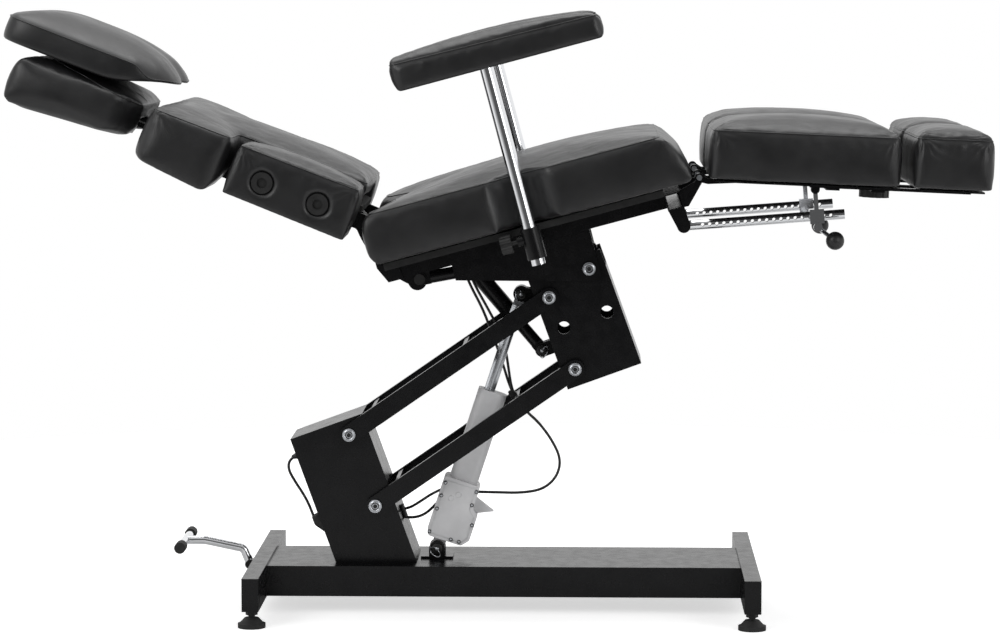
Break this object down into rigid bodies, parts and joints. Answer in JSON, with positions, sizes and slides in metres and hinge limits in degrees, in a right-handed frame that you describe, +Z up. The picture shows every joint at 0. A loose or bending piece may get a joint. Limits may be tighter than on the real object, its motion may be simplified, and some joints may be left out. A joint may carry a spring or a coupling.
{
  "type": "tattoo chair",
  "caption": "Reclining tattoo chair on a parallel-arm electric lift, with split sliding leg rests, jointed back and headrest, loose pillow and padded height-adjustable armrests.",
  "frame": {"origin": "on the floor, under the middle of the overall length and width", "axes": "+X from head end to foot end, +Z up, the pictured near side faces -Y"},
  "size_m": [1.7737, 0.662, 1.1042],
  "materials": {
    "upholstery": "semi-gloss black artificial leather",
    "chromed_tube": "mirror chrome",
    "bright_steel": "zinc-plated bolts",
    "black_plastic": "matte black moulding",
    "black_rubber": "black rubber",
    "board": "plywood under black lining",
    "grey_paint": "light grey powder coat",
    "black_paint": "semi-gloss black powder coat"
  },
  "bodies": {
    "base": {"base_frame": "black_paint", "column_box": "black_paint", "actuator_bracket": "black_paint", "base_pins": "bright_steel", "rear_cable": "black_plastic", "column_cables": "black_plastic"},
    "upper_arms": {"upper_arms": "black_paint"},
    "lower_arms": {"lower_arms": "black_paint", "motor_cable": "black_plastic"},
    "head": {"head_box": "black_paint", "head_pins": "bright_steel", "seat_cables": "black_plastic"},
    "lift_motor": {"lift_housing": "grey_paint", "lift_tube": "grey_paint"},
    "lift_rod": {"lift_rod": "bright_steel"},
    "tilt_rod": {"tilt_rod": "black_paint"},
    "tilt_tube": {"tilt_tube": "black_paint"},
    "seat": {"seat_frame": "black_paint", "seat_board": "board", "seat_cushion": "upholstery", "seat_pins": "bright_steel"},
    "back": {"back_frame": "black_paint", "back_board": "board", "back_cushion": "upholstery", "side_pad_near": "upholstery", "side_pad_far": "upholstery", "back_bolts": "black_plastic"},
    "back_rod": {"back_rod": "black_paint"},
    "back_tube": {"back_tube": "black_paint"},
    "headrest": {"headrest_plate": "black_paint", "headrest_cushion": "upholstery"},
    "pillow": {"pillow": "upholstery"},
    "foot_lever": {"foot_lever": "chromed_tube", "lever_caps": "black_rubber"},
    "armrest_post_near": {"armrest_post_near": "chromed_tube"},
    "armrest_pad_near": {"armrest_pad_near": "upholstery"},
    "armrest_knob_near": {"armrest_knob_near": "black_plastic"},
    "calf_near": {"calf_cushion_near": "upholstery", "calf_plate_near": "black_paint"},
    "foot_near": {"foot_cushion_near": "upholstery", "foot_slide_near": "black_paint"},
    "length_knob_near": {"length_knob_near": "black_plastic"},
    "leg_strut_near": {"leg_strut_near": "chromed_tube"},
    "leg_tube_near": {"leg_tube_near": "chromed_tube"},
    "catch_lever_near": {"catch_lever_near": "chromed_tube"},
    "armrest_post_far": {"armrest_post_far": "chromed_tube"},
    "armrest_pad_far": {"armrest_pad_far": "upholstery"},
    "armrest_knob_far": {"armrest_knob_far": "black_plastic"},
    "calf_far": {"calf_cushion_far": "upholstery", "calf_plate_far": "black_paint"},
    "foot_far": {"foot_cushion_far": "upholstery", "foot_slide_far": "black_paint"},
    "length_knob_far": {"length_knob_far": "black_plastic"},
    "leg_strut_far": {"leg_strut_far": "chromed_tube"},
    "leg_tube_far": {"leg_tube_far": "chromed_tube"},
    "catch_lever_far": {"catch_lever_far": "chromed_tube"},
    "levelling_foot_head_near": {"levelling_foot_head_near": "black_rubber"},
    "levelling_foot_head_far": {"levelling_foot_head_far": "black_rubber"},
    "levelling_foot_foot_near": {"levelling_foot_foot_near": "black_rubber"},
    "levelling_foot_foot_far": {"levelling_foot_foot_far": "black_rubber"}
  },
  "joints": [
    {"name": "lift", "type": "hinge", "parent": "base", "child": "upper_arms", "pos_m": [-0.2715, 0, 0.328], "axis": [0, -1, 0], "range_deg": [-30, 3]},
    {"name": "lower_arm_turn", "type": "hinge", "parent": "base", "child": "lower_arms", "pos_m": [-0.22362, 0, 0.19644], "axis": [0, -1, 0], "range_deg": [-30, 3], "deforming": ["motor_cable"]},
    {"name": "head_level", "type": "hinge", "parent": "upper_arms", "child": "head", "pos_m": [0.09518, 0, 0.5819], "axis": [0, -1, 0], "range_deg": [-3, 30], "deforming": ["seat_cables"]},
    {"name": "lift_motor_turn", "type": "hinge", "parent": "base", "child": "lift_motor", "pos_m": [-0.1133, 0, 0.1066], "axis": [0, -1, 0], "range_deg": [-24, 2.5], "deforming": ["column_cables"]},
    {"name": "lift_rod_slide", "type": "slide", "parent": "lift_motor", "child": "lift_rod", "axis": [0.3124, 0, 0.95], "range_m": [-0.1502, 0.0152]},
    {"name": "seat_tilt", "type": "hinge", "parent": "head", "child": "seat", "pos_m": [0.16796, 0, 0.63425], "axis": [0, -1, 0], "range_deg": [-15, 5], "deforming": ["seat_cables"]},
    {"name": "tilt_rod_turn", "type": "hinge", "parent": "head", "child": "tilt_rod", "pos_m": [0.08101, 0.046, 0.47288], "axis": [0, -1, 0], "range_deg": [-11, 4]},
    {"name": "tilt_tube_slide", "type": "slide", "parent": "tilt_rod", "child": "tilt_tube", "axis": [-0.6509, 0, 0.7591], "range_m": [-0.0152, 0.0438]},
    {"name": "back_recline", "type": "hinge", "parent": "seat", "child": "back", "pos_m": [-0.22156, 0, 0.71364], "axis": [0, 1, 0], "range_deg": [-36, 33]},
    {"name": "back_rod_turn", "type": "hinge", "parent": "back", "child": "back_rod", "pos_m": [-0.1434, -0.03, 0.61087], "axis": [0, -1, 0], "range_deg": [-42.5, 39]},
    {"name": "back_tube_slide", "type": "slide", "parent": "back_rod", "child": "back_tube", "axis": [0.9835, 0, 0.1811], "range_m": [-0.0656, 0.0602]},
    {"name": "headrest_tilt", "type": "hinge", "parent": "back", "child": "headrest", "pos_m": [-0.6345, 0, 0.89358], "axis": [0, 1, 0], "range_deg": [-35, 10]},
    {"name": "pillow_lift", "type": "slide", "parent": "headrest", "child": "pillow", "axis": [0.3584, 0, 0.9336], "range_m": [0, 0.06]},
    {"name": "foot_lever_rock", "type": "hinge", "parent": "base", "child": "foot_lever", "pos_m": [-0.4635, 0, 0.074], "axis": [0, -1, 0], "range_deg": [-4, 4], "stiffness_Nm_per_rad": 20, "springref_deg": -1.15},
    {"name": "armrest_height_near", "type": "slide", "parent": "seat", "child": "armrest_post_near", "axis": [-0.2588, 0, 0.9659], "range_m": [-0.12, 0.04]},
    {"name": "armrest_swivel_near", "type": "hinge", "parent": "armrest_post_near", "child": "armrest_pad_near", "pos_m": [0.06205, -0.286, 0.72545], "axis": [-0.2588, 0, 0.9659], "range_deg": [-90, 90]},
    {"name": "armrest_knob_turn_near", "type": "hinge", "parent": "seat", "child": "armrest_knob_near", "pos_m": [0.01243, -0.286, 0.69041], "axis": [0.9659, 0, 0.2588], "continuous": true},
    {"name": "leg_lift_near", "type": "hinge", "parent": "seat", "child": "calf_near", "pos_m": [0.3636, -0.152, 0.80821], "axis": [0, -1, 0], "range_deg": [-55, 17.5]},
    {"name": "foot_extend_near", "type": "slide", "parent": "calf_near", "child": "foot_near", "axis": [0.999, 0, -0.0436], "range_m": [0, 0.13]},
    {"name": "length_knob_turn_near", "type": "hinge", "parent": "calf_near", "child": "length_knob_near", "pos_m": [0.6793, -0.152, 0.79443], "axis": [0.0436, 0, 0.999], "continuous": true},
    {"name": "leg_strut_turn_near", "type": "hinge", "parent": "calf_near", "child": "leg_strut_near", "pos_m": [0.5727, -0.152, 0.78467], "axis": [0, -1, 0], "range_deg": [-0.5, 1.5]},
    {"name": "leg_tube_slide_near", "type": "slide", "parent": "leg_strut_near", "child": "leg_tube_near", "axis": [-0.9972, 0, -0.075], "range_m": [-0.0842, 0.0269]},
    {"name": "catch_lever_turn_near", "type": "hinge", "parent": "leg_strut_near", "child": "catch_lever_near", "pos_m": [0.57778, -0.018, 0.71716], "axis": [0, -1, 0], "range_deg": [-12, 12]},
    {"name": "armrest_height_far", "type": "slide", "parent": "seat", "child": "armrest_post_far", "axis": [-0.2588, 0, 0.9659], "range_m": [-0.12, 0.04]},
    {"name": "armrest_swivel_far", "type": "hinge", "parent": "armrest_post_far", "child": "armrest_pad_far", "pos_m": [0.06205, 0.286, 0.72545], "axis": [-0.2588, 0, 0.9659], "range_deg": [-90, 90]},
    {"name": "armrest_knob_turn_far", "type": "hinge", "parent": "seat", "child": "armrest_knob_far", "pos_m": [0.01243, 0.286, 0.69041], "axis": [0.9659, 0, 0.2588], "continuous": true},
    {"name": "leg_lift_far", "type": "hinge", "parent": "seat", "child": "calf_far", "pos_m": [0.3636, 0.152, 0.80821], "axis": [0, -1, 0], "range_deg": [-55, 17.5]},
    {"name": "foot_extend_far", "type": "slide", "parent": "calf_far", "child": "foot_far", "axis": [0.999, 0, -0.0436], "range_m": [0, 0.13]},
    {"name": "length_knob_turn_far", "type": "hinge", "parent": "calf_far", "child": "length_knob_far", "pos_m": [0.6793, 0.152, 0.79443], "axis": [0.0436, 0, 0.999], "continuous": true},
    {"name": "leg_strut_turn_far", "type": "hinge", "parent": "calf_far", "child": "leg_strut_far", "pos_m": [0.5727, 0.152, 0.78467], "axis": [0, -1, 0], "range_deg": [-0.5, 1.5]},
    {"name": "leg_tube_slide_far", "type": "slide", "parent": "leg_strut_far", "child": "leg_tube_far", "axis": [-0.9972, 0, -0.075], "range_m": [-0.0842, 0.0269]},
    {"name": "catch_lever_turn_far", "type": "hinge", "parent": "leg_strut_far", "child": "catch_lever_far", "pos_m": [0.57778, 0.018, 0.71716], "axis": [0, -1, 0], "range_deg": [-12, 12]},
    {"name": "levelling_turn_head_near", "type": "hinge", "parent": "base", "child": "levelling_foot_head_near", "pos_m": [-0.4365, -0.245, 0.02], "axis": [0, 0, 1], "continuous": true},
    {"name": "levelling_turn_head_far", "type": "hinge", "parent": "base", "child": "levelling_foot_head_far", "pos_m": [-0.4365, 0.245, 0.02], "axis": [0, 0, 1], "continuous": true},
    {"name": "levelling_turn_foot_near", "type": "hinge", "parent": "base", "child": "levelling_foot_foot_near", "pos_m": [0.4615, -0.245, 0.02], "axis": [0, 0, 1], "continuous": true},
    {"name": "levelling_turn_foot_far", "type": "hinge", "parent": "base", "child": "levelling_foot_foot_far", "pos_m": [0.4615, 0.245, 0.02], "axis": [0, 0, 1], "continuous": true}
  ],
  "couplings": [
    {"joint": "lower_arm_turn", "follows": "lift", "ratio": 1},
    {"joint": "head_level", "follows": "lift", "ratio": -1},
    {"joint": "lift_motor_turn", "follows": "lift", "ratio": 0.78},
    {"joint": "lift_rod_slide", "follows": "lift", "m_per_rad": 0.28665},
    {"joint": "tilt_rod_turn", "follows": "seat_tilt", "ratio": 0.6974},
    {"joint": "tilt_tube_slide", "follows": "seat_tilt", "m_per_rad": -0.16606},
    {"joint": "back_rod_turn", "follows": "back_recline", "ratio": 1.1773},
    {"joint": "back_tube_slide", "follows": "back_recline", "m_per_rad": 0.10391},
    {"joint": "leg_strut_turn_near", "follows": "leg_lift_near", "ratio": -0.02},
    {"joint": "leg_tube_slide_near", "follows": "leg_lift_near", "m_per_rad": 0.0873},
    {"joint": "leg_strut_turn_far", "follows": "leg_lift_far", "ratio": -0.02},
    {"joint": "leg_tube_slide_far", "follows": "leg_lift_far", "m_per_rad": 0.0873}
  ]
}
